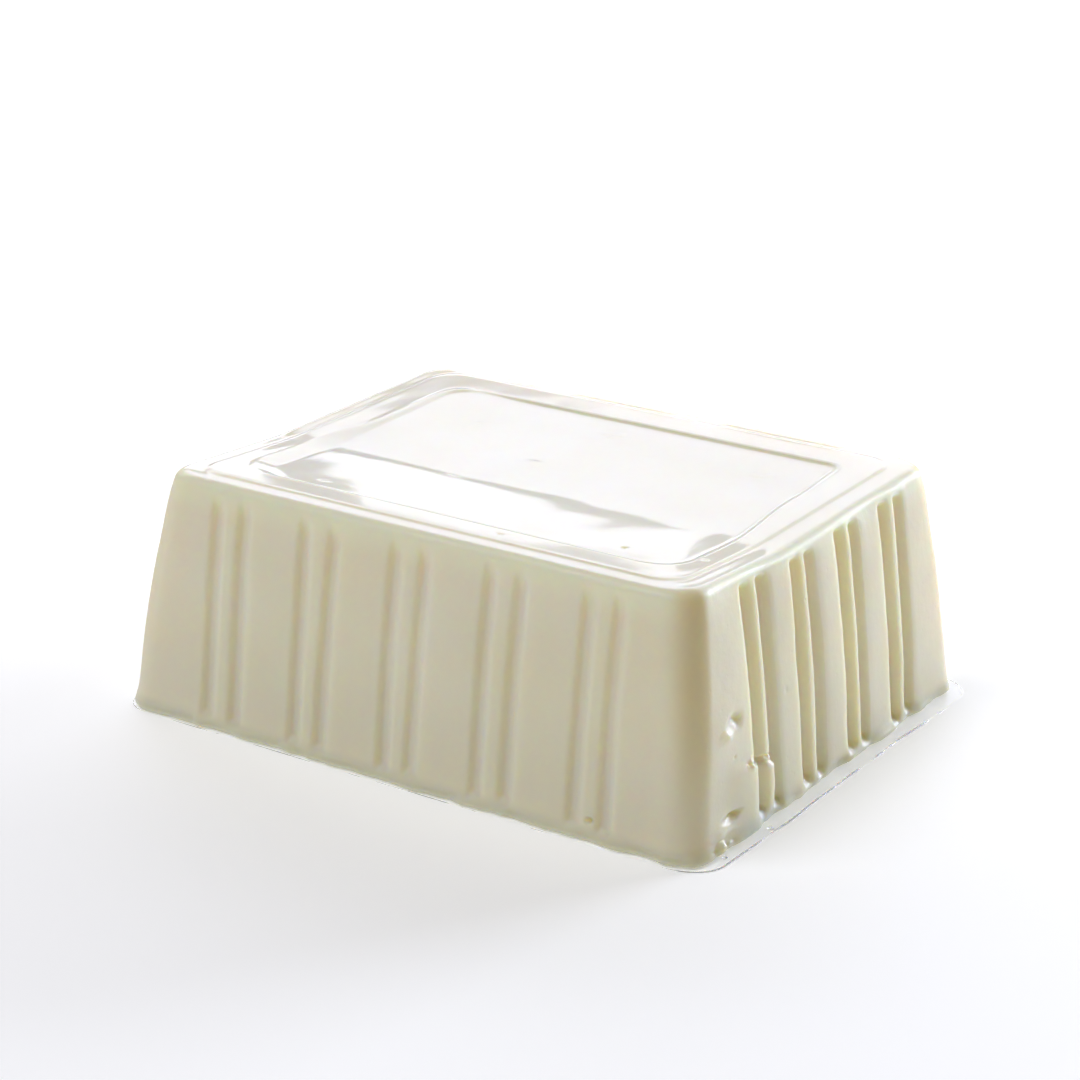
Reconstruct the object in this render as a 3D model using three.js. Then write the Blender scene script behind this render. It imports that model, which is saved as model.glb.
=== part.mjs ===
// A block of silken tofu turned out of its tray, standing on the side that was open.
// The ribs of the tray have left pairs of upright grooves in its four walls, and the stepped
// bottom of the tray has left a raised rim round a sunken panel on top.
//
// Millimetres, +Z up.  X runs along the long side, and the origin is under the middle of the block.
// The solid is one closed skin over a stack of level rings.  Every ring has the same points in the
// same order.  A ring differs from the next in how far it stands in from the foot, in its height, in
// the radius of its corners and in how deep the grooves are there.

import * as THREE from 'three';

const { clamp, degToRad, lerp, smoothstep } = THREE.MathUtils;

// Overall size
const LENGTH = 110;
const WIDTH = 89;
const HEIGHT = 40.4;

// Walls: nearly upright at the foot, leaning in more and more towards the top
const WALL_LEAN = 5.1;
const EVEN_LEAN = 0.58; // share of the lean that is the same from foot to top
const FOOT_FLARE = 0.5; // how far the foot has spread beyond the line of the wall
const FLARE_HEIGHT = 1.8;
const WALL_RINGS = 7;

// Lip of soft curd round the foot
const LIP_HEIGHT = 1.4;
const LIP_UNDERCUT = 0.5;

// Rounded edges
const UPRIGHT_EDGE_RADIUS = 5.5;
const CORNER_STEPS = 6;
const TOP_EDGE_RADIUS = 1.4;
const TOP_EDGE_STEPS = 3;

// Upright grooves in pairs: `gap` is from the middle of one groove of a pair to the middle of the
// other, and `shift` is how far all the pairs of a side are moved along X or Y
const LONG_SIDE = { pairs: 5, pitch: 17.5, gap: 5.4, shift: -0.3, depth: 0.9 };
const SHORT_SIDE = { pairs: 4, pitch: 14.9, gap: 4.8, shift: 1.4, depth: 1.4 };
const GROOVE_MOUTH = 3.5;
const GROOVE_FLOOR = 0.7;
const GROOVE_FOOT = 1.8; // height where the grooves begin
const GROOVE_FADE = 2.4; // height over which they reach their full depth

// Top: a narrow margin, a slight step up to the rim and a deeper step down to the panel
const RIM_EDGE = 3.8; // from the foot of the rounded edge to the rim
const RIM_STEP = 0.25;
const RIM_STEP_RUN = 1.0;
const RIM_WIDTH = 5.6;
const RIM_OUTER_RADIUS = 5.0;
const RIM_INNER_RADIUS = 5.0;
const PANEL_DEPTH = 0.55;
const PANEL_STEP_RUN = 1.7;
const PANEL_CORNER_RADIUS = 4.2;
const PANEL_RINGS = [0.7, 0.4, 0.15]; // sizes of the rings inside the panel, as shares of its own

// The top has sunk a little along a line parallel to X
const SAG_LINE = -8.8;
const SAG_DEPTH = 1.1;
const SAG_BEGINS = 0.8; // share of the height above which the walls sink with the top

const CURD_COLOUR = '#efe9d6';

const MARGIN_HEIGHT = HEIGHT - RIM_STEP;
const SHOULDER_HEIGHT = MARGIN_HEIGHT - TOP_EDGE_RADIUS;
const PANEL_HEIGHT = HEIGHT - PANEL_DEPTH;
const RIM_OUTER_INSET = wallInset(SHOULDER_HEIGHT) + RIM_EDGE + RIM_STEP_RUN;

/** How far a wall stands in from the widest line of the foot at a height. */
function wallInset(height) {
  const share = height / HEIGHT;
  const lean = WALL_LEAN * lerp(share ** 2, share, EVEN_LEAN);
  return lean + FOOT_FLARE * (1 - Math.exp(-height / FLARE_HEIGHT));
}

/** Depth of the grooves at a height: 1 along the wall, fading to 0 at both ends. */
function grooveShare(height) {
  const opening = smoothstep(height, GROOVE_FOOT, GROOVE_FOOT + GROOVE_FADE);
  const closing = smoothstep(height, SHOULDER_HEIGHT - GROOVE_FADE, MARGIN_HEIGHT);
  return opening * (1 - closing);
}

/** How far the top has sunk at a place along Y, from nothing at the front and back of the rim. */
function sag(y) {
  const edge = WIDTH / 2 - RIM_OUTER_INSET;
  const share = y < SAG_LINE ? (y + edge) / (SAG_LINE + edge) : (edge - y) / (edge - SAG_LINE);
  return SAG_DEPTH * clamp(share, 0, 1);
}

/**
 * The grooved points along one side, as [along, inward] from the middle of a side of `reach`.
 * `grooves` is the share of their depth that the grooves have there.
 */
function sidePoints({ pairs, pitch, gap, shift, depth }, mirror, reach, grooves) {
  const points = [];
  for (let pair = 0; pair < pairs; pair++) {
    for (const half of [-0.5, 0.5]) {
      const middle = (pair - (pairs - 1) / 2) * pitch + half * gap + shift * mirror;
      points.push([middle - GROOVE_MOUTH / 2, 0]);
      points.push([middle - GROOVE_FLOOR / 2, depth * grooves]);
      points.push([middle + GROOVE_FLOOR / 2, depth * grooves]);
      points.push([middle + GROOVE_MOUTH / 2, 0]);
    }
  }
  // On a ring too short for the grooves' places, the points close up to fit between its corners.
  const outermost = ((pairs - 1) * pitch + gap + GROOVE_MOUTH) / 2 + Math.abs(shift);
  const squeeze = Math.min(1, (reach - 1) / outermost);
  return points.map(([along, inward]) => [along * squeeze, inward]);
}

/** One level ring, counter-clockwise, starting at the left end of the front. */
function ring({ inset, height, radius, grooves = 0 }) {
  const sinking = smoothstep(height / HEIGHT, SAG_BEGINS, 1);
  const points = [];
  for (let side = 0; side < 4; side++) {
    const isLong = side % 2 === 0;
    const reach = (isLong ? LENGTH : WIDTH) / 2 - inset - radius;
    const offset = (isLong ? WIDTH : LENGTH) / 2 - inset;
    const turned = degToRad(90 * side);
    const place = ([along, inward]) => {
      const x = along * Math.cos(turned) + (offset - inward) * Math.sin(turned);
      const y = along * Math.sin(turned) - (offset - inward) * Math.cos(turned);
      points.push(new THREE.Vector3(x, y, height - sinking * sag(y)));
    };
    const mirror = side < 2 ? 1 : -1;
    sidePoints(isLong ? LONG_SIDE : SHORT_SIDE, mirror, reach, grooves).forEach(place);
    for (let step = 0; step <= CORNER_STEPS; step++) {
      const angle = degToRad((90 * step) / CORNER_STEPS);
      place([reach + radius * Math.sin(angle), radius * (1 - Math.cos(angle))]);
    }
  }
  return points;
}

/** Rings of the lip round the foot. */
function lipRings() {
  const radius = UPRIGHT_EDGE_RADIUS;
  return [
    ring({ inset: LIP_UNDERCUT, height: 0, radius }),
    ring({ inset: 0, height: LIP_HEIGHT / 2, radius }),
    ring({ inset: wallInset(LIP_HEIGHT), height: LIP_HEIGHT, radius }),
  ];
}

/** Rings of the four walls, from where the grooves begin to the rounded top edge. */
function wallRings() {
  const fullDepth = GROOVE_FOOT + GROOVE_FADE;
  const heights = [GROOVE_FOOT, GROOVE_FOOT + GROOVE_FADE / 2];
  for (let step = 0; step <= WALL_RINGS; step++) {
    heights.push(lerp(fullDepth, SHOULDER_HEIGHT - GROOVE_FADE, step / WALL_RINGS));
  }
  return heights.map((height) =>
    ring({ inset: wallInset(height), height, radius: UPRIGHT_EDGE_RADIUS, grooves: grooveShare(height) }),
  );
}

/** Rings of the rounded edge between the walls and the top. */
function shoulderRings() {
  const rings = [];
  for (let step = 0; step <= TOP_EDGE_STEPS; step++) {
    const angle = degToRad((90 * step) / TOP_EDGE_STEPS);
    const inset = wallInset(SHOULDER_HEIGHT) + TOP_EDGE_RADIUS * (1 - Math.cos(angle));
    const height = SHOULDER_HEIGHT + TOP_EDGE_RADIUS * Math.sin(angle);
    rings.push(ring({ inset, height, radius: UPRIGHT_EDGE_RADIUS, grooves: grooveShare(height) }));
  }
  return rings;
}

/** Rings of the rim and the panel, from the outside in. */
function topRings() {
  const rimInner = RIM_OUTER_INSET + RIM_WIDTH;
  const rings = [
    ring({ inset: RIM_OUTER_INSET - RIM_STEP_RUN, height: MARGIN_HEIGHT, radius: RIM_OUTER_RADIUS }),
    ring({ inset: RIM_OUTER_INSET, height: HEIGHT, radius: RIM_OUTER_RADIUS }),
    ring({ inset: rimInner, height: HEIGHT, radius: RIM_INNER_RADIUS }),
    ring({ inset: rimInner + PANEL_STEP_RUN, height: PANEL_HEIGHT, radius: PANEL_CORNER_RADIUS }),
  ];
  const panel = rings.at(-1);
  for (const share of PANEL_RINGS) {
    rings.push(panel.map(({ x, y }) => onPanel(x * share, y * share)));
  }
  return rings;
}

/** A point on the sunken panel. */
function onPanel(x, y) {
  return new THREE.Vector3(x, y, PANEL_HEIGHT - sag(y));
}

/** Closed skin over a stack of rings, with a fan of faces at the bottom and at the top. */
function skin(rings, bottom, top) {
  const count = rings[0].length;
  const points = [bottom, ...rings.flat(), top];
  const at = (level, i) => 1 + level * count + (i % count);
  const highest = rings.length - 1;
  const faces = [];
  for (let i = 0; i < count; i++) {
    faces.push(0, at(0, i + 1), at(0, i));
    for (let level = 0; level < highest; level++) {
      faces.push(at(level, i), at(level, i + 1), at(level + 1, i + 1));
      faces.push(at(level, i), at(level + 1, i + 1), at(level + 1, i));
    }
    faces.push(at(highest, i), at(highest, i + 1), points.length - 1);
  }
  const geometry = new THREE.BufferGeometry().setFromPoints(points);
  geometry.setIndex(faces);
  geometry.computeVertexNormals();
  return geometry;
}

const rings = [...lipRings(), ...wallRings(), ...shoulderRings(), ...topRings()];
const curd = new THREE.MeshStandardMaterial({ color: CURD_COLOUR, roughness: 0.35, metalness: 0 });
const block = new THREE.Mesh(skin(rings, new THREE.Vector3(), onPanel(0, 0)), curd);
block.name = 'tofu_block';

const tofu = new THREE.Group();
tofu.add(block);

export default tofu;
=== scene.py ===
"""Looks for a block of silken tofu that stands, turned out of its tray, in a thin film of whey.

The curd is one closed skin: level rings go up the walls and over the stepped top, and a grid closes
the sunken panel. X runs along the long side and Y along the short one, and the front faces -Y.
Lengths are in millimetres until a mesh is made, and then in metres, as for the lights and cards.
"""
import math

import bmesh
import bpy
import numpy as np
from mathutils import Matrix, Vector


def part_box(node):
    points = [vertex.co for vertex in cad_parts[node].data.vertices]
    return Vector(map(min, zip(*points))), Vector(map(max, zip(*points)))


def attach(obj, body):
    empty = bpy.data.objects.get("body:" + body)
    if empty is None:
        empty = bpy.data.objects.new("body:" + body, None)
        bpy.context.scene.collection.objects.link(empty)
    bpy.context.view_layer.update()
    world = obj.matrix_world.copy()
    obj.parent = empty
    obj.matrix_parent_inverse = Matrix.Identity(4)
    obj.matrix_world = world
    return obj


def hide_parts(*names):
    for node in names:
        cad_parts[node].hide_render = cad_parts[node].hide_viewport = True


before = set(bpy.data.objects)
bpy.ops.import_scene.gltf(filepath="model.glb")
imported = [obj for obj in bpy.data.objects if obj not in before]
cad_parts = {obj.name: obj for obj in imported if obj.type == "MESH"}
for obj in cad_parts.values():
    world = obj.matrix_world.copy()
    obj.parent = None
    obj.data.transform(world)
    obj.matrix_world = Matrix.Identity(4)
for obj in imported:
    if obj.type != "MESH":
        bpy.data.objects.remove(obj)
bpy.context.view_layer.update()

MM = 0.001
NODE = "tofu_block"
low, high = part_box(NODE)
LENGTH, WIDTH, HEIGHT = ((high - low) / MM)[:]

# ---------------------------------------------------------------- sizes of the walls

# Where a value differs from side to side, it is a list in this order
SIDES = 4
FRONT, RIGHT, BACK, LEFT = range(SIDES)
AXIS_ALONG = [0, 1, 0, 1]  # the front and back run along X, the right and left along Y

WALL_LEAN = 5.1
EVEN_LEAN = 0.58  # share of the lean that is the same from foot to top
FOOT_FLARE = 0.5  # how far the foot has spread beyond the line of the wall
FLARE_HEIGHT = 1.8
UPRIGHT_EDGE_RADIUS = 5.5
TOP_EDGE_RADIUS = 1.4
TOP_EASE = 0.15  # how much further in the wall leans just under the rounded edge
EASE_BEGINS = 35.5

# Section of the lip of soft curd round the foot, as (height, how far it is tucked in)
LIP_SECTION = [(0.0, 0.75), (0.12, 0.42), (0.35, 0.12), (0.65, 0.0), (0.95, 0.02), (1.25, 0.08)]

# Heights of the rings: close together above the lip and again below the rounded edge
CLOSE_RINGS_BEGIN = 1.6
CLOSE_RINGS_END = 6
CLOSE_RING_STEP = 0.4
WALL_RING_STEP = 0.64
SHOULDER_BAND = 1.8
SHOULDER_RINGS = 6
EDGE_RINGS = 11

# Grooves of a long and of a short side: the number of pairs, the distance between the middles of
# two pairs and between the two grooves of a pair, and how far all of them are moved along
LONG_PAIRS, LONG_PITCH, LONG_GAP, LONG_SHIFT = 5, 17.5, 5.4, -0.3
SHORT_PAIRS, SHORT_PITCH, SHORT_GAP, SHORT_SHIFT = 4, 14.9, 4.8, 1.4
GROOVE_FLOOR = 0.6
GROOVE_FOOT_FADE = 1.8  # height over which a groove reaches its full depth
GROOVE_FOOT = [1.4, 0.7, 1.4, 1.4]  # height where a groove begins
GROOVE_ASIDE = [0.7, 0, 0, 0]  # how far its deepest line lies from its middle
GROOVE_NEAR_EDGE = [1.4, 1.75, 1.75, 1.75]  # distance of its two edges from the deepest line
GROOVE_FAR_EDGE = [2.2, 2.0, 1.75, 1.75]
GROOVE_DEPTH = [0.85, 1.4, 0.95, 1.4]
GROOVE_TOP = [34.8, 37.2, 36.8, 36.8]  # height up to which it has its full depth
GROOVE_TOP_FADE = [4.4, 1.5, 2.0, 2.0]

# Curd that stands proud below each groove: how far, the heights between which it comes out and goes
# back, and the distances from the groove's middle between which it ends
GROOVE_LIP = [0.22, 0.07, 0.22, 0.22]
GROOVE_LIP_OUT = (0.2, 0.9)
GROOVE_LIP_BACK = (1.3, 2.0)
GROOVE_LIP_ENDS = (0.8, 2.4)

# How much the grooves of a side differ: shares of their edges, depth and lip, and millimetres of
# their foot and top
GROOVE_SEED = 100
EDGE_VARIES, DEPTH_VARIES, LIP_VARIES = 0.05, 0.06, 0.55
FOOT_VARIES, TOP_VARIES = 0.35, 0.2

# No groove is quite straight. Three sines, as (size, turn per millimetre, spread of their starts),
# and a slant move it sideways, and the wall moves with it within a reach.
BEND, WAVER, TREMBLE = (0.09, 1 / 8, 3), (0.025, 2.1, 9), (0.02, 4.7, 5)
SLANT = 0.006
RIGHT_DRIFT = [0, 0, -0.3, -0.4, -0.5, -0.7, -0.3, -0.3]  # as well, for each on the right side
WANDER_REACH = [2.5, 1.9, 2.5, 1.9]
WANDER_FADE = 0.45

# Unevenness, as (size, wavelength, seed, share of the height that counts)
WALL_WAVES = [(0.11, 26, 21, 1), (0.03, 7, 22, 1), (0.008, 2.2, 23, 1)]
LIP_WAVES = [(0.2, 9, 11, 0.3), (0.1, 3.2, 12, 0.5)]
LIP_WAVES_END = (0.8, 2.6)  # heights between which the lip's unevenness ends
WAVE_COUNT = 14
WAVE_SPREAD = (0.7, 1.5)  # shortest and longest, as shares of the wavelength

# ---------------------------------------------------------------- sizes of the top

# A flat margin, a small step up to the rim, and a deeper step down to the panel. Insets are from
# the widest line of the foot. Corner radii go front left, front right, back right, back left.
RIM_FOOT_INSET = np.array([8.9, 9.6, 8.9, 9.2])
RIM_STEP = 0.25
RIM_STEP_RUN = 1.0
RIM_OUTER_RADIUS = 5.0
RIM_INNER_INSET = np.array([15.0, 15.9, 16.3, 15.6])
RIM_INNER_RADII = np.array([6.5, 6.5, 2.6, 4.5])
PANEL_DEPTH = 0.55
PANEL_STEP_RUN = np.array([1.6, 1.8, 1.3, 2.2])
PANEL_RADII = np.array([5.5, 5.5, 1.8, 3.8])
PANEL_BORDER = 2.5  # width of the rings inside the step
TOP_RINGS = [3, 5, 7, 9, 3]  # on the margin, the step up, the rim, the step down and the border
LEFT_SLOPE = (32, 37)  # distances to the left between which the step down becomes an even slope

MARGIN_HEIGHT = HEIGHT - RIM_STEP
SHOULDER_HEIGHT = MARGIN_HEIGHT - TOP_EDGE_RADIUS
PANEL_HEIGHT = HEIGHT - PANEL_DEPTH

# Some values change along X or Y: each change is (size, start, end).
# The inner edge of the rim strays along X on the left and right, away from the middle.
STRAY_LEFT, STRAY_LEFT_CHANGES = -2.0, [(2.0, -7, 4), (0.9, 20, 28)]
STRAY_RIGHT, STRAY_RIGHT_CHANGES = 2.3, [(-1.9, -12, 9), (-0.8, 12, 28)]
STRAY_BEGINS = (24, 37)

# The panel is higher towards the back, and on the left behind the crease
BACK_RISE, BACK_RISE_Y = 0.22, (10, 27)
LEFT_RISE, LEFT_RISE_Y, LEFT_RISE_X = 0.26, (-7, 7), (20, 38)

# The top has sunk along a crease that runs roughly along X, a little deeper at its left end
CREASE, CREASE_CHANGES = -9.3, [(1.0, -6, 8), (-3.0, 36, 44)]
CREASE_SOFTNESS, CREASE_SOFTNESS_CHANGES = 1.3, [(3.1, -16, 18)]
CREASE_LEFT_SOFTNESS, CREASE_LEFT_END = 2.0, (36, 43)
SAG_LEFT = 1.1
SAG_RIGHT = 1.08
SAG_EDGE = 35.5  # distance to the front and to the back where the top hasn't sunk
SAG_BEGINS = 32  # height above which the walls sink with the top

# Faint marks that the floor of the tray has left on the panel: the middle of each, its half size,
# the width of its soft edge, how far it stands up, and the noise that breaks it up
MOULD_MARKS = [(-23.5, 13.3), (-1.5, 21.8), (28.8, 18.3), (-6.0, 2.5)]
MARK_SIZE = 2.4
MARK_EDGE = 1.2
MARK_RISE = 0.045
MARK_NOISE = {"wavelength": 2.6, "seed": 33}
MARK_WHOLE = (-0.2, 0.6)
TOP_WAVES = [(0.007, 14, 31, 1), (0.0015, 5, 32, 1)]


# ---------------------------------------------------------------- small helpers

def smooth(x, start, end):
    """0 before start, 1 after end, and an even S between them."""
    t = np.clip((x - start) / (end - start), 0, 1)
    return t * t * (3 - 2 * t)


def course(x, value, changes):
    """A value that changes along x, by each size between its start and end."""
    for size, start, end in changes:
        value = value + size * smooth(x, start, end)
    return value


def waves(points, wavelength, seed):
    """Smooth noise of about unit size at points (N, 3)."""
    rng = np.random.default_rng(seed)
    ways = rng.normal(size=(WAVE_COUNT, 3))
    ways /= np.linalg.norm(ways, axis=1)[:, None]
    lengths = wavelength * rng.uniform(*WAVE_SPREAD, WAVE_COUNT)
    phases = rng.uniform(0, math.tau, WAVE_COUNT)
    total = np.cos(math.tau * points @ (ways / lengths[:, None]).T + phases).sum(1)
    return total * math.sqrt(2 / WAVE_COUNT)


def swell(points, table, level=0):
    """A level with the waves of a table added to it."""
    for size, wavelength, seed, upright in table:
        level = level + size * waves(points * [1, 1, upright], wavelength, seed)
    return level


def mound(points, centre, radii):
    """1 at the centre of an ellipsoid, falling smoothly to 0 at its surface."""
    d2 = (((points - np.array(centre)) / np.array(radii)) ** 2).sum(1)
    return np.clip(1 - d2, 0, None) ** 2


# ---------------------------------------------------------------- the samples round a ring

def groove_middles(pairs, pitch, gap, shift):
    """Places of a side's grooves along it, in rising order."""
    pair_middles = (np.arange(pairs) - (pairs - 1) / 2) * pitch + shift
    return np.sort(np.concatenate([pair_middles - gap / 2, pair_middles + gap / 2]))


GROOVES_X = groove_middles(LONG_PAIRS, LONG_PITCH, LONG_GAP, LONG_SHIFT)
GROOVES_Y = groove_middles(SHORT_PAIRS, SHORT_PITCH, SHORT_GAP, SHORT_SHIFT)
# Samples across a groove, from its middle. On the long sides they reach further towards +X, because
# the grooves of the front do.
EVEN_SAMPLES = np.array([-1.85, -1.6, -1.35, -1.1, -0.8, -0.45, 0, 0.45, 0.8, 1.1, 1.4, 1.7, 2.0])
WIDE_SAMPLES = np.array([-1.9, -1.5, -1.1, -0.75, -0.4, -0.1, 0.2, 0.5, 0.9, 1.35, 1.8, 2.3, 2.9])
BAND_SAMPLE = 1.8  # longest step across a smooth band
CORNER_SAMPLES = 7  # on each half of a corner
CORNER_CLEARANCE = 1  # least distance of a groove's samples from a corner


class Samples:
    """Places along one axis, in rising order, which two opposite sides share.

    `place` is in millimetres from the first groove to the last. `share` is how far a sample lies
    into the end band beyond them, -1 to 1, and `turn` is its angle round a corner, -45 to 45
    degrees, in radians.
    """

    def __init__(self, middles, across, near_count, far_count):
        core = (middles[:, None] + across).ravel()
        steps = [
            np.linspace(a, b, max(1, math.ceil((b - a) / BAND_SAMPLE)), endpoint=False)
            for a, b in zip(core[:-1], core[1:])
        ]
        core = np.concatenate([*steps, core[-1:]])
        corner = np.radians(np.linspace(45, 0, CORNER_SAMPLES + 1)[:-1])
        ends = np.ones(CORNER_SAMPLES)
        near = np.linspace(1, 0, near_count, endpoint=False)
        far = np.linspace(1, 0, far_count, endpoint=False)[::-1]
        before = np.concatenate([ends, near])
        after = np.concatenate([far, ends])
        self.place = np.concatenate([core[0] + 0 * before, core, core[-1] + 0 * after])
        self.share = np.concatenate([-before, 0 * core, after])
        self.turn = np.concatenate([-corner, 0 * near, 0 * core, 0 * far, corner[::-1]])
        self.first, self.last = core[0], core[-1]

    def side(self, start, end, near_radius, far_radius):
        """Where the samples lie on a side of a ring whose box runs from start to end, with a corner
        at each end, and how far they have turned inward there."""
        radius = np.where(self.share < 0, near_radius, far_radius)
        start, end = start + near_radius, end - far_radius
        first = max(self.first, start + CORNER_CLEARANCE)
        last = min(self.last, end - CORNER_CLEARANCE)
        inner = first + (self.place - self.first) * (last - first) / (self.last - self.first)
        near = np.clip(-self.share, 0, 1) * (start - first)
        far = np.clip(self.share, 0, 1) * (end - last)
        along = inner + near + far + radius * np.sin(self.turn)
        return along, radius * (1 - np.cos(self.turn))


ALONG_X = Samples(GROOVES_X, WIDE_SAMPLES, near_count=6, far_count=6)
ALONG_Y = Samples(GROOVES_Y, EVEN_SAMPLES, near_count=14, far_count=8)
COUNT_X, COUNT_Y = len(ALONG_X.place) - 1, len(ALONG_Y.place) - 1  # steps along a side


def outline(insets, radii):
    """A level ring from the front left corner round, each corner once: its (x, y) points, the
    directions that they face, and which side each is on. The radii go round in the same order."""
    front_left, front_right, back_right, back_left = np.broadcast_to(radii, SIDES)
    x0, x1 = -LENGTH / 2 + insets[LEFT], LENGTH / 2 - insets[RIGHT]
    y0, y1 = -WIDTH / 2 + insets[FRONT], WIDTH / 2 - insets[BACK]
    front, front_in = ALONG_X.side(x0, x1, front_left, front_right)
    right, right_in = ALONG_Y.side(y0, y1, front_right, back_right)
    back, back_in = ALONG_X.side(x0, x1, back_left, back_right)
    left, left_in = ALONG_Y.side(y0, y1, front_left, back_left)
    tx, ty = ALONG_X.turn, ALONG_Y.turn
    points = [
        np.stack([front, y0 + front_in], 1),
        np.stack([x1 - right_in, right], 1),
        np.stack([back, y1 - back_in], 1)[::-1],
        np.stack([x0 + left_in, left], 1)[::-1],
    ]
    facing = [
        np.stack([np.sin(tx), -np.cos(tx)], 1),
        np.stack([np.cos(ty), np.sin(ty)], 1),
        np.stack([np.sin(tx), np.cos(tx)], 1)[::-1],
        np.stack([-np.cos(ty), np.sin(ty)], 1)[::-1],
    ]
    side_of = np.concatenate([np.full(len(p) - 1, side) for side, p in enumerate(points)])
    points = np.concatenate([p[:-1] for p in points])
    facing = np.concatenate([f[:-1] for f in facing])
    return points, facing, side_of


def four_sides(closed):
    """The front, right, back and left of a ring that ends where it began, each along +X or +Y."""
    right, back, left = COUNT_X, COUNT_X + COUNT_Y, 2 * COUNT_X + COUNT_Y
    return (
        closed[: right + 1],
        closed[right : back + 1],
        closed[back : left + 1][::-1],
        closed[left:][::-1],
    )


# ---------------------------------------------------------------- the shape of the walls

def wall_inset(height):
    """How far a wall stands in from the widest line of the foot."""
    share = height / HEIGHT
    lean = WALL_LEAN * (EVEN_LEAN * share + (1 - EVEN_LEAN) * share**2)
    ease = TOP_EASE * np.clip((height - EASE_BEGINS) / (SHOULDER_HEIGHT - EASE_BEGINS), 0, 1) ** 2
    return lean + ease + FOOT_FLARE * (1 - np.exp(-height / FLARE_HEIGHT))


# The rounded top edge starts at the slope that the wall has there, measured over a short step.
SLOPE_STEP = 0.1
SLOPE = (wall_inset(SHOULDER_HEIGHT) - wall_inset(SHOULDER_HEIGHT - SLOPE_STEP)) / SLOPE_STEP
EDGE_START = math.atan(SLOPE)


def top_edge(angle):
    """Inset and height of the rounded top edge, from EDGE_START on the wall to a right angle."""
    radius = TOP_EDGE_RADIUS / (1 - math.sin(EDGE_START))
    inset = wall_inset(SHOULDER_HEIGHT) + radius * (math.cos(EDGE_START) - math.cos(angle))
    return inset, SHOULDER_HEIGHT + radius * (math.sin(angle) - math.sin(EDGE_START))


def sine(height, wave, start):
    """A sine up the wall, moved along by its start, -1 to 1."""
    size, rate, spread = wave
    return size * math.sin(height * rate + spread * start)


def cut_grooves(side, along, height):
    """How deep the grooves of one side are at places along it, at one height, and how far the wall
    there moves sideways with them. Below each groove the depth is negative."""
    rng = np.random.default_rng(GROOVE_SEED + side)
    reach = WANDER_REACH[side]
    depth, shift = np.zeros(len(along)), np.zeros(len(along))
    for number, middle in enumerate((GROOVES_X, GROOVES_Y)[AXIS_ALONG[side]]):
        narrow, deep, phase, sway, top, foot = rng.uniform(-1, 1, 6)
        bend = sine(height, BEND, phase) + SLANT * sway * (height - HEIGHT / 2)
        if side == RIGHT:
            bend += RIGHT_DRIFT[number]
        jitter = sine(height, WAVER, phase) + sine(height, TREMBLE, sway)
        across = np.abs(along - middle)
        shift += (bend + jitter) * (1 - smooth(across, reach, reach + WANDER_FADE))

        aside = along - middle - GROOVE_ASIDE[side]
        edge = np.where(aside < 0, GROOVE_NEAR_EDGE[side], GROOVE_FAR_EDGE[side])
        profile = 1 - smooth(np.abs(aside), GROOVE_FLOOR / 2, (1 + EDGE_VARIES * narrow) * edge)
        start = GROOVE_FOOT[side] + FOOT_VARIES * foot
        end = GROOVE_TOP[side] + TOP_VARIES * top
        opening = smooth(height, start, start + GROOVE_FOOT_FADE)
        share = opening * (1 - smooth(height, end, end + GROOVE_TOP_FADE[side]))
        depth += GROOVE_DEPTH[side] * (1 + DEPTH_VARIES * deep) * share * profile

        lip = smooth(height, *GROOVE_LIP_OUT) * (1 - smooth(height, *GROOVE_LIP_BACK))
        proud = GROOVE_LIP[side] * (1 + LIP_VARIES * deep) * lip
        depth -= proud * (1 - smooth(across, *GROOVE_LIP_ENDS))
    return depth, shift


def sag(x, y):
    """How far the top has sunk: most along a crease, and nothing at the front and back edges."""
    line = course(x, CREASE, CREASE_CHANGES)
    soft = course(x, CREASE_SOFTNESS, CREASE_SOFTNESS_CHANGES)
    soft = soft + CREASE_LEFT_SOFTNESS * smooth(-x, *CREASE_LEFT_END)
    away = y - line
    span = np.where(away < 0, line + SAG_EDGE, SAG_EDGE - line)
    rise = np.hypot(away, soft) - soft
    full = np.hypot(span, soft) - soft
    depth = SAG_LEFT + (SAG_RIGHT - SAG_LEFT) * (x / LENGTH + 0.5)
    return depth * (1 - np.clip(rise / full, 0, 1))


def wall_bumps(points):
    """Unevenness of the walls and of the lip round the foot, as millimetres outward."""
    near = 1 - smooth(points[:, 2], *LIP_WAVES_END)
    return swell(points, WALL_WAVES) + near * swell(points, LIP_WAVES)


def top_bumps(points):
    """Unevenness of the top, as millimetres upward. The gloss shows every slope, so it is slight."""
    flat = points * [1, 1, 0]
    away = [np.hypot(flat[:, 0] - x, flat[:, 1] - y) for x, y in MOULD_MARKS]
    marks = sum(smooth(MARK_SIZE - distance, 0, MARK_EDGE) for distance in away)
    broken = smooth(waves(flat, **MARK_NOISE), *MARK_WHOLE)
    return swell(flat, TOP_WAVES) + MARK_RISE * marks * broken


# ---------------------------------------------------------------- rings, from the ground up

def ring_points(insets, radii, height, wall_share):
    """Finished points of a ring. wall_share is 1 on the walls and 0 on the top."""
    xy, facing, side_of = outline(insets, radii)
    if wall_share > 0:
        for side, axis in enumerate(AXIS_ALONG):
            on = side_of == side
            depth, shift = cut_grooves(side, xy[on, axis], height)
            xy[on] -= facing[on] * depth[:, None]
            xy[on, axis] += shift * wall_share
    points = np.column_stack([xy, np.full(len(xy), float(height))])
    points[:, :2] += facing * (wall_bumps(points) * wall_share)[:, None]
    points[:, 2] -= smooth(height, SAG_BEGINS, MARGIN_HEIGHT) * sag(points[:, 0], points[:, 1])
    points[:, 2] += (1 - wall_share) * top_bumps(points)
    return points


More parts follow.
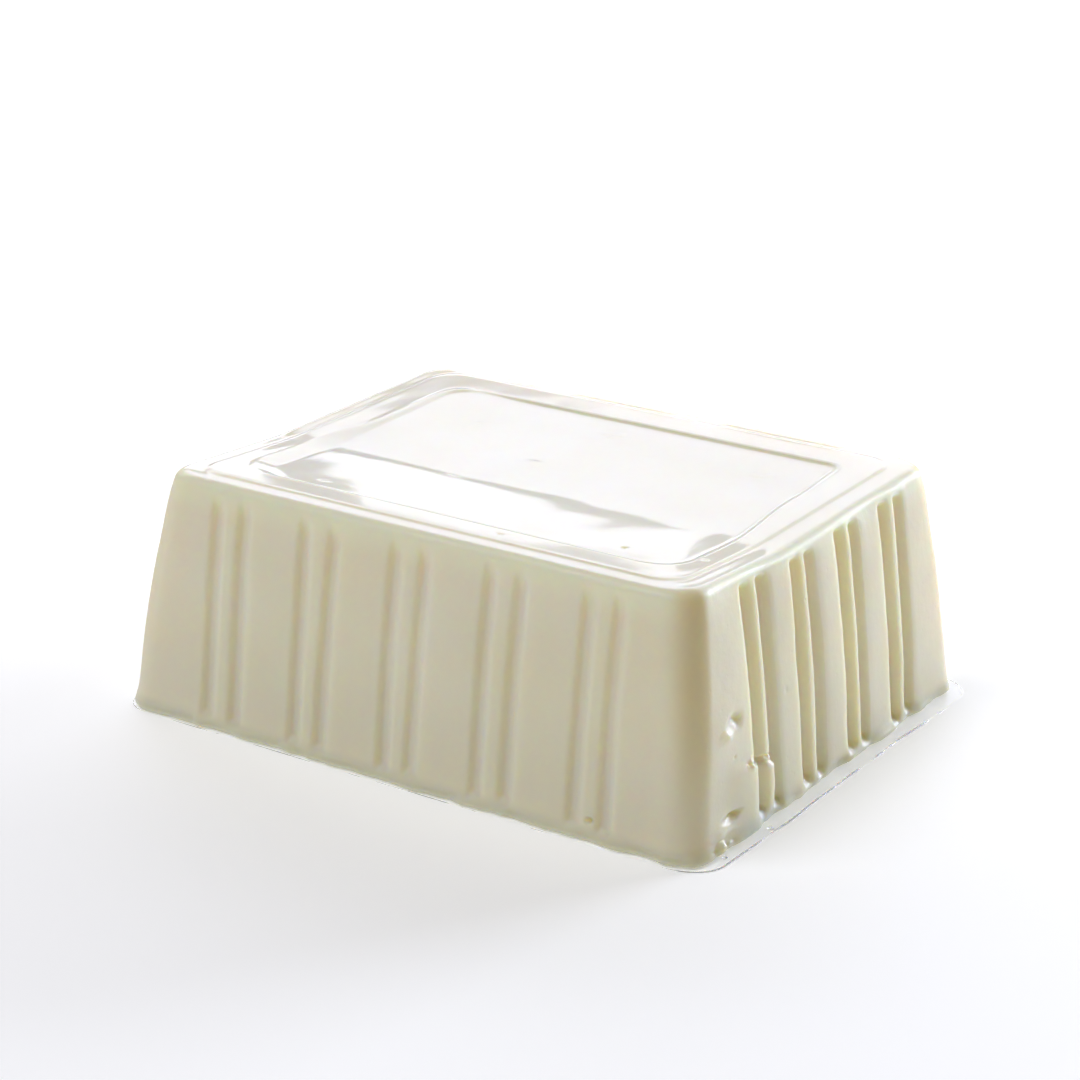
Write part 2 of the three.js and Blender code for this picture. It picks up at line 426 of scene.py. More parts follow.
def wall_rings():
    """Rings of the lip, the walls and the rounded top edge."""
    levels = [(wall_inset(height) + tuck, height, 1.0) for height, tuck in LIP_SECTION]
    heights = np.concatenate([
        np.arange(CLOSE_RINGS_BEGIN, CLOSE_RINGS_END, CLOSE_RING_STEP),
        np.arange(CLOSE_RINGS_END, SHOULDER_HEIGHT - SHOULDER_BAND - CLOSE_RING_STEP, WALL_RING_STEP),
        np.linspace(SHOULDER_HEIGHT - SHOULDER_BAND, SHOULDER_HEIGHT, SHOULDER_RINGS),
    ])
    levels += [(wall_inset(height), height, 1.0) for height in heights]
    for angle in np.linspace(EDGE_START, math.pi / 2, EDGE_RINGS + 1)[1:]:
        levels.append((*top_edge(angle), max(0.0, math.cos(angle))))
    return [
        ring_points(np.full(SIDES, inset), UPRIGHT_EDGE_RADIUS, height, wall_share)
        for inset, height, wall_share in levels
    ]


def rim_stray(points, left_share, right_share):
    """How far the inner edge of the rim strays along X."""
    x, y = points[:, 0], points[:, 1]
    left = course(y, STRAY_LEFT, STRAY_LEFT_CHANGES)
    right = course(y, STRAY_RIGHT, STRAY_RIGHT_CHANGES)
    return np.where(x < 0, left_share * left, right_share * right) * smooth(np.abs(x), *STRAY_BEGINS)


def panel_rise(points):
    """How much higher the floor of the panel is towards the back, and on the left."""
    x, y = points[:, 0], points[:, 1]
    left = LEFT_RISE * smooth(y, *LEFT_RISE_Y) * smooth(-x, *LEFT_RISE_X)
    return BACK_RISE * smooth(y, *BACK_RISE_Y) + left


def top_rings():
    """Rings from the margin to just inside the edge of the panel."""
    shoulder = np.full(SIDES, top_edge(math.pi / 2)[0])
    rim_outer = RIM_FOOT_INSET + RIM_STEP_RUN
    panel = RIM_INNER_INSET + PANEL_STEP_RUN
    floor = RIM_STEP - PANEL_DEPTH
    # Insets, corner radii, height above the margin, and how far the ring follows the stray edge of
    # the rim on the left and on the right
    stations = [
        (shoulder, UPRIGHT_EDGE_RADIUS, 0, 0, 0),
        (RIM_FOOT_INSET, RIM_OUTER_RADIUS, 0, 0, 0),
        (rim_outer, RIM_OUTER_RADIUS, RIM_STEP, 0, 0),
        (RIM_INNER_INSET, RIM_INNER_RADII, RIM_STEP, 1, 1),
        (panel, PANEL_RADII, floor, 0, 0.8),
        (panel + PANEL_BORDER, PANEL_RADII, floor, 0, 0.4),
    ]
    rings = []
    for start, end, count in zip(stations, stations[1:], TOP_RINGS):
        rise_start, rise_end = start[2], end[2]
        for t in np.linspace(0, 1, count + 1)[1:]:
            insets, radii, _, left, right = (a + (b - a) * t for a, b in zip(start, end))
            steep = 1 - (1 - t) ** 3
            share = smooth(t, 0, 1) if rise_end > rise_start else steep
            rise = rise_start + (rise_end - rise_start) * share
            ring = ring_points(insets, radii, MARGIN_HEIGHT + rise, 0.0)
            ring[:, 0] += rim_stray(ring, left, right)
            if rise_end < rise_start:
                ring[:, 2] += PANEL_DEPTH * (steep - t) * smooth(-ring[:, 0], *LEFT_SLOPE)
                ring[:, 2] += steep * panel_rise(ring)
            elif rise_end < 0:
                ring[:, 2] += panel_rise(ring)
            rings.append(ring)
    return rings


def panel_grid(ring):
    """Points inside the last ring, spread evenly between its four sides."""
    front, right, back, left = four_sides(np.concatenate([ring, ring[:1]])[:, :2])
    u = ((front[:, 0] - front[0, 0]) / (front[-1, 0] - front[0, 0]))[None, :, None]
    v = ((right[:, 1] - right[0, 1]) / (right[-1, 1] - right[0, 1]))[:, None, None]
    grid = (1 - v) * front[None] + v * back[None] + (1 - u) * left[:, None] + u * right[:, None]
    grid = grid - (1 - v) * ((1 - u) * front[0] + u * front[-1])
    grid = grid - v * ((1 - u) * back[0] + u * back[-1])
    inner = grid[1:-1, 1:-1].reshape(-1, 2)
    points = np.column_stack([inner, PANEL_HEIGHT - sag(inner[:, 0], inner[:, 1])])
    points[:, 2] += top_bumps(points) + panel_rise(points)
    return points


def panel_faces(first_edge, first_inner):
    """Quads of the panel: the border is the last ring, the rest the inner points."""
    edge = first_edge + np.append(np.arange(2 * (COUNT_X + COUNT_Y)), 0)
    index = np.zeros((COUNT_Y + 1, COUNT_X + 1), int)
    index[0, :], index[:, -1], index[-1, :], index[:, 0] = four_sides(edge)
    inner = np.arange((COUNT_X - 1) * (COUNT_Y - 1)).reshape(COUNT_Y - 1, COUNT_X - 1)
    index[1:-1, 1:-1] = first_inner + inner
    quads = np.stack([index[:-1, :-1], index[:-1, 1:], index[1:, 1:], index[1:, :-1]], -1)
    return quads.reshape(-1, 4).tolist()


def band(count, a, b):
    """Quads between two rings of count points, whose first points are a and b."""
    around = np.arange(count)
    after = (around + 1) % count
    return np.stack([a + around, a + after, b + after, b + around], 1).tolist()


def band_faces(count, levels):
    """Quads between neighbouring rings of count points."""
    faces = []
    for level in range(levels - 1):
        faces += band(count, level * count, (level + 1) * count)
    return faces


def build_block():
    """Points of the curd, and its faces: the underside, the walls and steps, and the panel."""
    rings = wall_rings() + top_rings()
    count = len(rings[0])
    points = np.concatenate([*rings, panel_grid(rings[-1])])
    faces = [list(range(count))[::-1]]
    faces += band_faces(count, len(rings))
    faces += panel_faces((len(rings) - 1) * count, len(rings) * count)
    return points, faces


# ---------------------------------------------------------------- damage

# Centre, radii and depth of each hollow. A negative depth is curd pushed up.
HOLLOWS = [
    # The dent in the first band of the right side, and its lip
    ((52.8, -30.2, 18.8), (2.6, 3.2, 2.3), 0.5),
    ((52.8, -29.5, 19.2), (1.8, 1.7, 1.1), 0.35),
    ((52.9, -32.8, 17.4), (2.4, 2.8, 1.4), -0.3),
    # The crack above the slip, and the crumb beside it
    ((53.9, -22.6, 10.2), (1.8, 4.2, 0.5), 0.9),
    ((54.0, -26.0, 10.8), (1.6, 1.2, 1.3), -0.6),
    # The gouge low down, its lip, and the crumbs at its foot
    ((54.3, -32.4, 4.7), (2.4, 4.0, 1.1), 0.55),
    ((54.3, -31.0, 4.8), (1.8, 2.2, 0.6), 0.35),
    ((54.4, -36.0, 3.2), (2.4, 4.8, 1.1), -0.28),
    ((54.8, -36.4, 1.2), (2.2, 1.8, 1.1), -0.8),
    ((54.9, -33.6, 0.9), (1.8, 1.0, 0.7), -0.45),
    # Nicks and a grain on the right side, and nicks on the front and the corner
    ((52.2, -22.0, 26.9), (1.0, 0.5, 0.5), 0.3),
    ((53.1, -14.1, 18.4), (1.0, 0.5, 0.9), 0.25),
    ((51.6, -6.5, 30.3), (1.0, 0.45, 0.45), 0.25),
    ((53.2, -6.6, 17.5), (1.0, 0.45, 0.45), 0.25),
    ((53.7, -30.8, 13.5), (1.0, 0.6, 0.45), 0.25),
    ((51.3, -11.0, 31.6), (1.0, 0.8, 0.6), -0.15),
    ((-32.6, -40.6, 31.0), (0.55, 1.0, 0.55), 0.3),
    ((36.2, -43.8, 3.5), (1.0, 1.2, 0.8), 0.6),
    ((52.0, -42.0, 19.4), (0.9, 1.2, 0.6), 0.2),
    # Nicks and a slight rise on the top
    ((29.3, -24.1, 39.0), (0.7, 0.9, 1.0), 0.22),
    ((-26.4, -25.6, 39.0), (1.8, 0.6, 1.0), 0.12),
    ((12.1, -32.1, 40.3), (0.9, 0.6, 1.0), 0.12),
    ((42.5, -22.7, 40.2), (1.0, 0.7, 1.0), 0.12),
    ((-12.2, -10.0, 39.0), (1.4, 0.9, 1.2), -0.04),
]
HOLLOW_WAVES = [(0.3, 2.6, 71, 1)]  # the hollows are ragged
HOLLOW_SHARES = (0.3, 1.8)  # least and most of a hollow's depth
SPLIT_REACHES = (1.5, 1.25)  # in a hollow's radii, for the first and the second splitting
SPLIT_MARGIN = 0.5  # least distance beyond its radii
SHORTEST_SPLIT = 0.2  # shorter edges stay whole

# The slip of the first rib of the right side: how far it stands out, where the crack is at a place
# along Y and how it slopes, its width, and where the slip begins and ends along Y, Z and X
SLIP_OUT = 0.55
CRACK_Y, CRACK_HEIGHT, CRACK_SLOPE = -22, 9.6, 0.28
CRACK_WIDTH = 0.35
SLIP_BEGINS = (-34, -26)
SLIP_ENDS = (-19.4, -17.5)
SLIP_RISES = (-2, 7)
SLIP_X = 45


def slip(points):
    """How far the wall stands out below the crack across the first rib of the right side."""
    x, y, z = points.T
    crack = CRACK_HEIGHT - CRACK_SLOPE * (y - CRACK_Y)
    below = 1 - smooth(z, crack - CRACK_WIDTH, crack)
    beside = smooth(y, *SLIP_BEGINS) * (1 - smooth(y, *SLIP_ENDS))
    return SLIP_OUT * below * beside * smooth(z, *SLIP_RISES) * (x > SLIP_X)


def split_round_hollows(work, spread):
    """Splits the edges of a bmesh that are near a hollow."""
    edges = list(work.edges)
    ends = np.array([(*e.verts[0].co, *e.verts[1].co) for e in edges]) / MM
    middle = (ends[:, :3] + ends[:, 3:]) / 2
    near = np.zeros(len(edges), bool)
    for centre, radii, _ in HOLLOWS:
        reach = np.maximum(np.array(radii) * spread, np.array(radii) + SPLIT_MARGIN)
        near |= (((middle - centre) / reach) ** 2).sum(1) < 1
    near &= np.linalg.norm(ends[:, :3] - ends[:, 3:], axis=1) > SHORTEST_SPLIT
    chosen = [edges[i] for i in np.flatnonzero(near)]
    bmesh.ops.subdivide_edges(work, edges=chosen, cuts=1, use_grid_fill=True)


def refine_and_dent(mesh):
    """Splits the faces round the hollows twice, then moves their points along the surface's
    normals, in at a hollow and out at the slip."""
    work = bmesh.new()
    work.from_mesh(mesh)
    for spread in SPLIT_REACHES:
        split_round_hollows(work, spread)
    work.normal_update()
    points = np.array([v.co[:] for v in work.verts]) / MM
    ragged = np.clip(swell(points, HOLLOW_WAVES, 1), *HOLLOW_SHARES)
    dent = sum(deep * mound(points, centre, radii) for centre, radii, deep in HOLLOWS)
    push = slip(points) - ragged * dent
    work.verts.ensure_lookup_table()
    for index in np.flatnonzero(push):
        vert = work.verts[index]
        vert.co += vert.normal * float(push[index]) * MM
    work.to_mesh(mesh)
    work.free()


# ---------------------------------------------------------------- the film of whey

FILM_WIDTH = np.array([0.5, 2.5, 1.4, 0.6])  # beyond the foot, on each side
FILM_NARROWEST = 0.25
FILM_DEPTH = 0.09
FILM_EDGE = 0.18  # width of the rounded outer edge
FILM_UNDERSIDE = 0.99  # share of the width that touches the ground
FILM_START = 0.25  # inset of the line that the width is measured from
FILM_TUCK = 1.6  # how far the film reaches in under the lip
MENISCUS = 0.22  # how much higher the film stands against the curd
MENISCUS_REACH = 0.25  # how far out it falls to about a third of that
MENISCUS_FALL = 1.5  # power that brings it to nothing at the outer edge
# Waves of the film's width and of the meniscus, as (size, wavelength, seed, share of the height)
WIDTH_WAVES = [(0.1, 34, 51, 1), (0.03, 11, 52, 1)]
MENISCUS_WAVES = [(0.15, 14, 53, 1)]
# The lines of points along the top of the film, as shares of its width, and the lines that carry
# the painted shade of the bead, counted from the two under the film
FILM_STEPS = np.array(
    [0, 0.05, 0.11, 0.18, 0.28, 0.45, 0.65, 0.8, 0.87, 0.91, 0.94, 0.965, 0.985, 0.996]
)
SHADED_BEAD_LINES = range(3, 8)
BUBBLES = [((56.2, -24.0), 0.55), ((55.6, -36.6), 0.45)]  # the middle and radius of each
BUBBLE_SIDES = 16
BUBBLE_BASE = 0.03
BUBBLE_LIFTS = [0, 15, 32, 52, 72]  # degrees
# painted shade at the foot of each bubble, as a share of the edge's
BUBBLE_SHADE = 0.7


def build_film():
    """A closed ring of liquid round the foot: thick where it clings to the curd, thin outwards.
    The bead shade marks where shade is painted on the liquid. It is 1 along the outer edge, less at
    the foot of the bubbles, and 0 elsewhere."""
    foot, facing, _ = outline(np.full(SIDES, FILM_START), UPRIGHT_EDGE_RADIUS)
    ways = np.array([[0, -1], [1, 0], [0, 1], [-1, 0]])
    share = np.clip(facing @ ways.T, 0, None) ** 2
    flat = np.column_stack([foot, 0 * foot[:, 0]])
    width = np.clip((share @ FILM_WIDTH) * swell(flat, WIDTH_WAVES, 1), FILM_NARROWEST, None)
    meniscus = MENISCUS * swell(flat, MENISCUS_WAVES, 1)
    sections = [np.column_stack([foot - facing * FILM_TUCK, 0 * width])]
    sections.append(np.column_stack([foot + facing * (width * FILM_UNDERSIDE)[:, None], 0 * width]))
    for step in FILM_STEPS[::-1]:
        out = width * step
        edge = np.clip((width - out) / FILM_EDGE, 0, 1)
        rounded = FILM_DEPTH * np.sqrt(1 - (1 - edge) ** 2)
        clinging = meniscus * np.exp(-out / MENISCUS_REACH) * (1 - step) ** MENISCUS_FALL
        sections.append(np.column_stack([foot + facing * out[:, None], rounded + clinging]))
    sections.append(np.column_stack([foot - facing * FILM_TUCK, FILM_DEPTH + meniscus]))
    points = np.concatenate(sections)
    count = len(foot)
    faces = [face[::-1] for face in band_faces(count, len(sections))]
    faces += band(count, 0, (len(sections) - 1) * count)
    # painted shade on the bead's lines
    bead_shade = np.where(np.isin(np.arange(len(points)) // count, SHADED_BEAD_LINES), 1.0, 0.0)
    for centre, radius in BUBBLES:
        dome, dome_faces = build_bubble(centre, radius)
        faces += [[len(points) + index for index in face] for face in dome_faces]
        points = np.concatenate([points, dome])
        # painted shade at the foot of each bubble
        bead_shade = np.concatenate([bead_shade, np.where(dome[:, 2] < FILM_DEPTH, BUBBLE_SHADE, 0.0)])
    return points, faces, bead_shade


def build_bubble(centre, radius):
    """A dome of liquid over a bubble in the film."""
    angles = np.arange(BUBBLE_SIDES) * math.tau / BUBBLE_SIDES
    circle = np.stack([np.cos(angles), np.sin(angles)], 1)
    rings = []
    for lift in np.radians(BUBBLE_LIFTS):
        height = 0 * angles + BUBBLE_BASE + radius * math.sin(lift)
        rings.append(np.column_stack([circle * radius * math.cos(lift) + centre, height]))
    faces = band_faces(BUBBLE_SIDES, len(rings))
    faces.append(list(range(BUBBLE_SIDES))[::-1])
    faces.append(list(range((len(rings) - 1) * BUBBLE_SIDES, len(rings) * BUBBLE_SIDES)))
    return np.concatenate(rings), faces


# ---------------------------------------------------------------- nodes

def new_material(name):
    """A material and its Principled shader."""
    material = bpy.data.materials.new(name)
    material.use_nodes = True
    return material, material.node_tree.nodes["Principled BSDF"]


def add(tree, kind, **values):
    """A new node. Each value goes to its setting of that name, or else to its socket."""
    node = tree.nodes.new(kind)
    for key, value in values.items():
        if hasattr(node, key):
            setattr(node, key, value)
        else:
            node.inputs[key.replace("_", " ")].default_value = value
    return node


def noise(tree, where, size, detail=3.0):
    """Noise whose blobs are about `size` millimetres across."""
    node = add(tree, "ShaderNodeTexNoise", Scale=1 / (size * MM), Detail=detail)
    tree.links.new(where, node.inputs["Vector"])
    return node.outputs["Fac"]


def remap(tree, source, span, values=(0, 1)):
    """The first value before the span, the second after it, and an even S between them."""
    node = tree.nodes.new("ShaderNodeMapRange")
    node.interpolation_type = "SMOOTHSTEP"
    tree.links.new(source, node.inputs["Value"])
    for name, value in zip(("From Min", "From Max", "To Min", "To Max"), (*span, *values)):
        node.inputs[name].default_value = value
    return node.outputs["Result"]


def patches(tree, where, size, span, values=(0, 1)):
    """Noise remapped, which gives patches with soft edges."""
    return remap(tree, noise(tree, where, size), span, values)


def mix(tree, factor, a, b):
    """A colour between a and b. Each may be a colour or a socket."""
    node = tree.nodes.new("ShaderNodeMix")
    node.data_type = "RGBA"
    tree.links.new(factor, node.inputs[0])
    for socket, value in ((node.inputs[6], a), (node.inputs[7], b)):
        if isinstance(value, tuple):
            socket.default_value = (*value, 1)
        else:
            tree.links.new(value, socket)
    return node.outputs[2]


def maths(tree, operation, a, b=0):
    """What an operation makes of two values, each a number or a socket."""
    node = tree.nodes.new("ShaderNodeMath")
    node.operation = operation
    for socket, value in zip(node.inputs, (a, b)):
        if isinstance(value, (int, float)):
            socket.default_value = value
        else:
            tree.links.new(value, socket)
    return node.outputs[0]


# ---------------------------------------------------------------- materials

CURD = (0.91, 0.84, 0.60)
CURD_PALE = (0.92, 0.86, 0.65)
CURD_WET_AND_SHADED = (0.80, 0.77, 0.58)  # towards the foot: partly wetter curd, partly painted shade
CURD_FOOT_SHADE = (0.58, 0.60, 0.50)  # painted shade, greyer, just above the whey
CURD_CORNER_SHADE = (0.81, 0.72, 0.44)  # painted shade on the upright corners
CURD_EDGE_GLOW = (0.97, 0.90, 0.66)  # painted glow under the tops of the walls

# Heights in metres between which the tints of the foot (partly wet curd, partly painted shade) end,
# how strong they are before and after, and heights between which the painted glow of the edge begins
WET_AND_SHADE = {"span": (0, 24 * MM), "values": (0.9, 0)}
FOOT_SHADE = {"span": (0.3 * MM, 3.2 * MM), "values": (0.8, 0)}
EDGE_GLOW_SPAN = ((HEIGHT - 6) * MM, (HEIGHT - 2) * MM)
# Distances from the middle of the block, along X and Y, between which the painted shade of the
# corners begins, at the foot. Higher up they move in with the wall.
CORNER_SHADE_SPANS = {
    "X": ((LENGTH / 2 - 4.5) * MM, (LENGTH / 2 - 1) * MM),
    "Y": ((WIDTH / 2 - 5.7) * MM, (WIDTH / 2 - 4.2) * MM),
}

# Patches: the size of the noise in millimetres, the span of it that makes their edges, and what
# they vary between
BLOTCHES = {"size": 18, "span": (0.35, 0.7)}
COAT_PATCHES = {"size": 9, "span": (0.4, 0.65), "values": (0.03, 0.18)}
# gaps in the painted shade along the whey's edge
WHEY_SHADE_BREAKS = {"size": 10, "span": (0.42, 0.58), "values": (0.05, 1)}
WHEY_ROUGHNESS = {"size": 5, "span": (0.35, 0.7), "values": (0.0, 0.06)}

TOP_FACING = (0.92, 0.99)  # how much a surface faces up, between the walls and the top
GRAIN_SIZE, GRAIN_DETAIL = 1.1, 4.0
ROUGHNESS = {"span": (0.3, 0.7), "values": (0.34, 0.46)}  # by the grain
PORE_DISTANCE = 2.4
PITS = {"span": (0.0, 0.16), "values": (-0.5, 0)}  # by the distance from a pore, in pore distances
BUMP_HEIGHT = 0.06
BUMP_STRENGTHS = (0.7, 0.08)  # on the walls and on the top

WHEY_CLEAR = (0.99, 0.99, 0.98)
# painted shade along the whey's beaded edge
WHEY_SHADE = (0.1, 0.1, 0.09)
WHEY_ALPHAS = (0.07, 0.9)  # where it is clear and where its edge has painted shade
BEAD_ROUGHNESS = 0.7


def curd_colour(tree, where, top):
    """Cream with pale blotches, a painted glow under the top edge, painted shade on the upright
    corners, darker towards the foot (partly wet curd, partly painted shade) and painted shade above
    the whey."""
    split = tree.nodes.new("ShaderNodeSeparateXYZ")
    tree.links.new(where, split.inputs[0])
    height = split.outputs["Z"]
    colour = mix(tree, patches(tree, where, **BLOTCHES), CURD, CURD_PALE)
    # painted glow on the walls under the top edge
    edge = remap(tree, height, EDGE_GLOW_SPAN)
    edge = maths(tree, "MULTIPLY", edge, maths(tree, "SUBTRACT", 1, top))
    colour = mix(tree, edge, colour, CURD_EDGE_GLOW)

    # painted shade on the upright corners
    leaning_back = maths(tree, "MULTIPLY", height, WALL_LEAN / HEIGHT)
    corner = 1
    for axis, span in CORNER_SHADE_SPANS.items():
        out = maths(tree, "ADD", maths(tree, "ABSOLUTE", split.outputs[axis]), leaning_back)
        corner = maths(tree, "MULTIPLY", corner, remap(tree, out, span))
    colour = mix(tree, corner, colour, CURD_CORNER_SHADE)
    # darker towards the foot: partly wetter curd, partly painted shade
    colour = mix(tree, remap(tree, height, **WET_AND_SHADE), colour, CURD_WET_AND_SHADED)
    # painted shade just above the whey
    return mix(tree, remap(tree, height, **FOOT_SHADE), colour, CURD_FOOT_SHADE)


def curd_material():
    """Moist, milky curd: glossy on top, with a fine grain and pores that show most on the walls."""
    material, shader = new_material("silken_curd")
    tree = material.node_tree
    where = tree.nodes.new("ShaderNodeTexCoord").outputs["Object"]
    facing = tree.nodes.new("ShaderNodeSeparateXYZ")
    tree.links.new(tree.nodes.new("ShaderNodeNewGeometry").outputs["Normal"], facing.inputs[0])
    top = remap(tree, facing.outputs["Z"], TOP_FACING)
    tree.links.new(curd_colour(tree, where, top), shader.inputs["Base Color"])

    shader.inputs["Subsurface Weight"].default_value = 1.0
    shader.inputs["Subsurface Radius"].default_value = (1.0, 0.7, 0.25)
    shader.inputs["Subsurface Scale"].default_value = 6 * MM
    shader.inputs["IOR"].default_value = 1.38
    shader.inputs["Coat IOR"].default_value = 1.34
    shader.inputs["Coat Roughness"].default_value = 0.05

    grain = noise(tree, where, GRAIN_SIZE, GRAIN_DETAIL)
    tree.links.new(remap(tree, grain, **ROUGHNESS), shader.inputs["Roughness"])
    coat = maths(tree, "MAXIMUM", patches(tree, where, **COAT_PATCHES), top)
    tree.links.new(coat, shader.inputs["Coat Weight"])

    pores = add(tree, "ShaderNodeTexVoronoi", Scale=1 / (PORE_DISTANCE * MM))
    tree.links.new(where, pores.inputs["Vector"])
    relief = maths(tree, "ADD", grain, remap(tree, pores.outputs["Distance"], **PITS))
    bump = add(tree, "ShaderNodeBump", Distance=BUMP_HEIGHT * MM)
    tree.links.new(remap(tree, top, (0, 1), BUMP_STRENGTHS), bump.inputs["Strength"])
    tree.links.new(relief, bump.inputs["Height"])
    tree.links.new(bump.outputs["Normal"], shader.inputs["Normal"])
    return material


def whey_material():
    """Clear liquid, faint where it lies flat, with painted shade in stretches along its beaded edge.
    """
    material, shader = new_material("whey")
    tree = material.node_tree
    shader.inputs["Transmission Weight"].default_value = 1.0
    shader.inputs["IOR"].default_value = 1.34
    where = tree.nodes.new("ShaderNodeTexCoord").outputs["Object"]
    bead_shade = add(tree, "ShaderNodeAttribute", attribute_name="bead_shade").outputs["Fac"]
    # painted shade in stretches along the bead
    painted_shade = maths(tree, "MULTIPLY", bead_shade, patches(tree, where, **WHEY_SHADE_BREAKS))
    tree.links.new(mix(tree, painted_shade, WHEY_CLEAR, WHEY_SHADE), shader.inputs["Base Color"])
    tree.links.new(remap(tree, painted_shade, (0, 1), WHEY_ALPHAS), shader.inputs["Alpha"])
    rough = remap(tree, bead_shade, (0, 1), (0, BEAD_ROUGHNESS))
    rough = maths(tree, "ADD", patches(tree, where, **WHEY_ROUGHNESS), rough)
    tree.links.new(rough, shader.inputs["Roughness"])
    return material


def floor_material():
    """A pale floor that glows a little, as in an overexposed studio."""
    material, shader = new_material("pale_floor")
    shader.inputs["Base Color"].default_value = (0.91, 0.90, 0.84, 1)
    shader.inputs["Roughness"].default_value = 0.6
    shader.inputs["Emission Color"].default_value = (1, 0.985, 0.94, 1)
    shader.inputs["Emission Strength"].default_value = 0.28
    return material


def card_material():
    """Dull black."""
    material, shader = new_material("black_card")
    shader.inputs["Base Color"].default_value = (0.02, 0.02, 0.02, 1)
    shader.inputs["Roughness"].default_value = 0.9
    return material


# ---------------------------------------------------------------- pieces

def make_piece(name, points, faces, material):
    """An object from points in millimetres."""
    mesh = bpy.data.meshes.new(name)
    mesh.from_pydata((np.asarray(points) * MM).tolist(), [], faces)
    mesh.update()
    mesh.materials.append(material)
    piece = bpy.data.objects.new(name, mesh)
    bpy.context.scene.collection.objects.link(piece)
    return piece


curd = make_piece("curd_block", *build_block(), curd_material())
refine_and_dent(curd.data)
curd.data.shade_smooth()
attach(curd, "root")
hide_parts(NODE)

film_points, film_faces, film_bead_shade = build_film()
film = make_piece("whey_film", film_points, film_faces, whey_material())
film.data.shade_smooth()
# the mask of painted shade along the bead
film.data.attributes.new("bead_shade", "FLOAT", "POINT").data.foreach_set("value", film_bead_shade)
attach(film, "root")

# ---------------------------------------------------------------- floor

FLOOR_HALF = 3000
FLOOR_DROP = 0.03  # below the block, so that the two don't share a plane

corners = [(-1, -1), (1, -1), (1, 1), (-1, 1)]
floor = make_piece(
    "floor",
    [(FLOOR_HALF * x, FLOOR_HALF * y, -FLOOR_DROP) for x, y in corners],
    [[0, 1, 2, 3]],
    floor_material(),
)


# ---------------------------------------------------------------- lights and cards, in metres

BACK_AZIMUTH = 123
BACK_DISTANCE = 1.0
CARD_DISTANCE = 0.98  # just in front of the back light
COOL = (0.95, 0.97, 1.13)
COLDER = (0.94, 1.0, 1.22)

# Outlines of the cards, as (place along the back light, height). The glossy top mirrors them, as a
# streak along the crease, as patches on the right of the rim and as a wedge on the left.
STREAK_CARD = [
    (0.45, 0.322), (-0.045, 0.322), (-0.065, 0.332), (-0.082, 0.346),
    (-0.065, 0.36), (-0.045, 0.366), (0.45, 0.366),
]
RIGHT_CARD = [(-0.09, 0.322), (-0.15, 0.322), (-0.15, 0.385), (-0.09, 0.385)]
LEFT_CARD = [
    (0.122, 0.322), (0.086, 0.322), (0.086, 0.303), (0.1, 0.292), (0.108, 0.282),
    (0.118, 0.276), (0.13, 0.272), (0.137, 0.278), (0.137, 0.3),
]


def towards(azimuth):
    """Level direction from the block to a place at that many degrees from +X."""
    angle = math.radians(azimuth)
    return np.array([math.cos(angle), math.sin(angle), 0])


def area_light(name, width, height, radiance, colour):
    """A rectangle of light. Its energy grows with its area, so that `radiance` alone says how
    bright it looks."""
    lamp = bpy.data.lights.new(name, "AREA")
    lamp.color = colour
    lamp.shape = "RECTANGLE"
    lamp.size = width
    lamp.size_y = height
    lamp.energy = radiance * math.pi * width * height
    box = bpy.data.objects.new(name, lamp)
    bpy.context.scene.collection.objects.link(box)
    return box


def softbox(name, azimuth, distance, bottom, top, width, radiance, colour):
    """An upright rectangle of light that faces the block, its edges at heights bottom and top."""
    box = area_light(name, width, top - bottom, radiance, colour)
    box.location = towards(azimuth) * distance + [0, 0, (bottom + top) / 2]
    box.rotation_euler = (math.radians(90), 0, math.radians(azimuth) + math.radians(90))


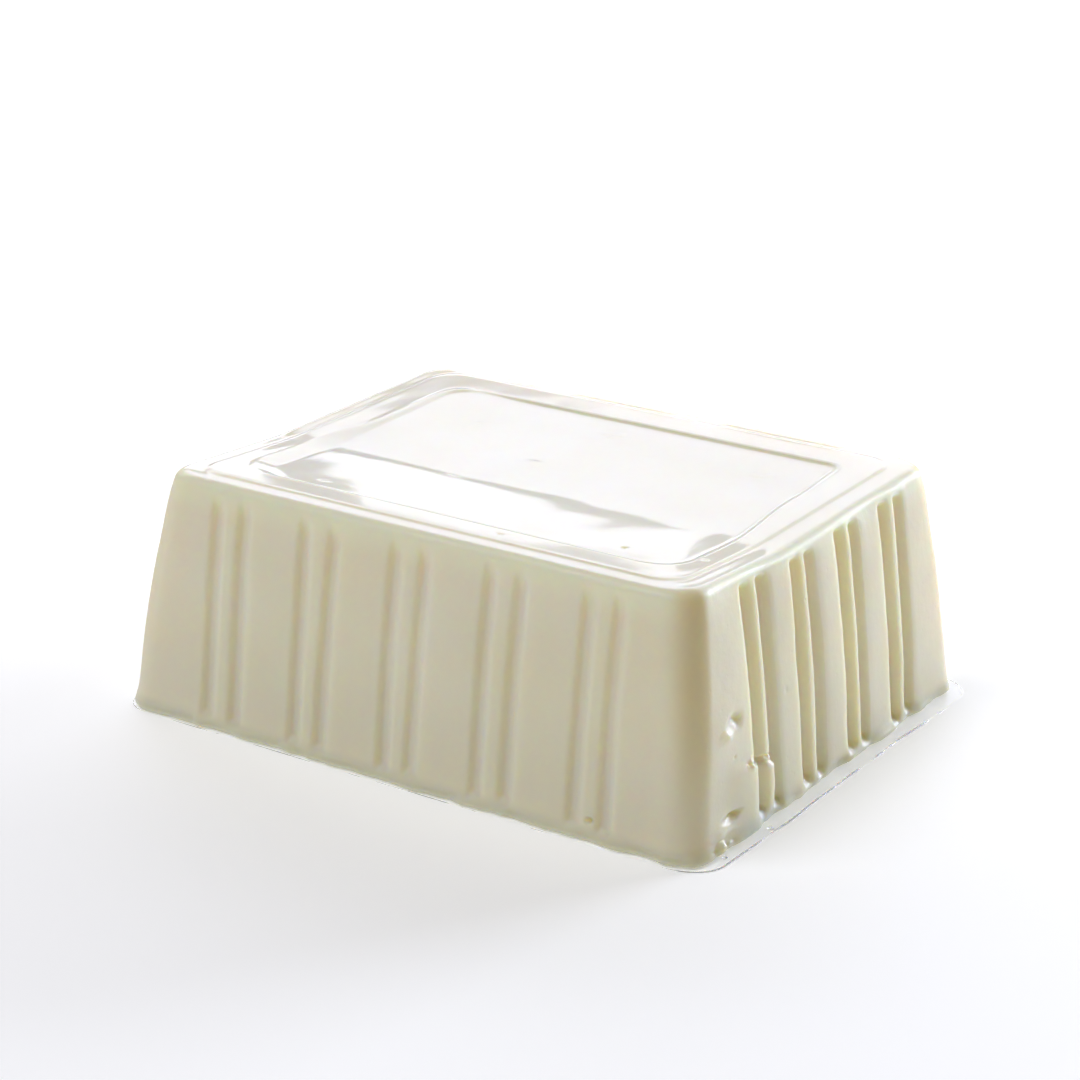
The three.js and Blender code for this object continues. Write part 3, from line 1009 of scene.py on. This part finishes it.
def high_softbox(name, azimuth, elevation, distance, size, radiance, colour):
    """A square of light above, aimed at the block."""
    box = area_light(name, size, size, radiance, colour)
    lift = math.radians(elevation)
    level = towards(azimuth) * (distance * math.cos(lift))
    box.location = level + [0, 0, distance * math.sin(lift)]
    box.rotation_euler = box.location.to_track_quat("Z", "Y").to_euler()


def dark_card(name, outline_points, material):
    """A card in front of the back light."""
    ahead = towards(BACK_AZIMUTH)
    along = np.array([-ahead[1], ahead[0], 0])
    points = [
        (ahead * CARD_DISTANCE + along * side + [0, 0, height]) / MM
        for side, height in outline_points
    ]
    card = make_piece(name, points, [list(range(len(points)))], material)


softbox(
    "back", BACK_AZIMUTH, BACK_DISTANCE,
    bottom=0.15, top=1.0, width=1.5, radiance=2.12, colour=COOL,
)
softbox(
    "right_fill", azimuth=70, distance=1.0,
    bottom=0.0, top=0.5, width=0.45, radiance=13.0, colour=COLDER,
)
high_softbox("key", azimuth=233, elevation=62, distance=2.0, size=1.1, radiance=5.2, colour=COOL)

black = card_material()
dark_card("card", STREAK_CARD, black)
dark_card("right_card", RIGHT_CARD, black)
dark_card("left_card", LEFT_CARD, black)

world = bpy.data.worlds.new("studio")
world.use_nodes = True
world.node_tree.nodes["Background"].inputs["Color"].default_value = (1.0, 0.95, 0.85, 1)
world.node_tree.nodes["Background"].inputs["Strength"].default_value = 0.05
bpy.context.scene.world = world
bpy.context.scene.view_settings.view_transform = "Standard"

# ---------------------------------------------------------------- camera

CAMERA_PLACE = Vector((237.033, -364.164, 182.876)) * MM
CAMERA_RIGHT = Vector((0.83337, 0.55254, 0.01421))
CAMERA_BACK = Vector((0.51628, -0.78734, 0.33698))
LENS = 93.673
SENSOR = 36
CLIP_START = 0.01

lens = bpy.data.cameras.new("camera")
lens.lens = LENS
lens.sensor_width = SENSOR
lens.clip_start = CLIP_START
camera = bpy.data.objects.new("camera", lens)
back = CAMERA_BACK.normalized()
right = (CAMERA_RIGHT - CAMERA_RIGHT.dot(back) * back).normalized()
up = back.cross(right)
turn = Matrix((right, up, back)).transposed().to_4x4()
camera.matrix_world = Matrix.Translation(CAMERA_PLACE) @ turn
bpy.context.scene.collection.objects.link(camera)
bpy.context.scene.camera = camera
